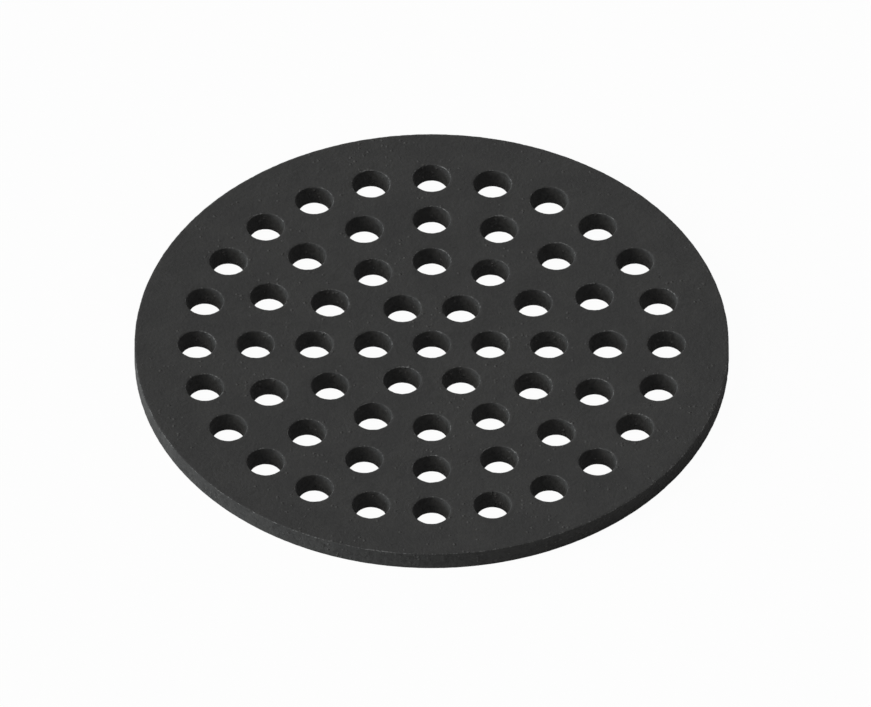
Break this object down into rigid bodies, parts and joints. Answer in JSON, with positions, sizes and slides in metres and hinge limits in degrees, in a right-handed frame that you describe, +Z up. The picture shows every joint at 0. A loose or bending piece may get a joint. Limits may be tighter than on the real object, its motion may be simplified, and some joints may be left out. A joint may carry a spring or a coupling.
{
  "type": "floor drain cover",
  "caption": "Flat round cast-iron floor drain cover, pierced right through by concentric rings of tapered drainage holes, with a plain solid land at its rim.",
  "frame": {"origin": "centre of the flat underside, on the plate's axis", "axes": "+Z up along the plate's axis and out of the top face, +X through the first hole of every ring"},
  "size_m": [0.1968, 0.1968, 0.0066],
  "materials": {
    "cast_iron": "as cast, dipped in thin black coating"
  },
  "bodies": {
    "root": {"drain_cover": "cast_iron"}
  },
  "joints": []
}
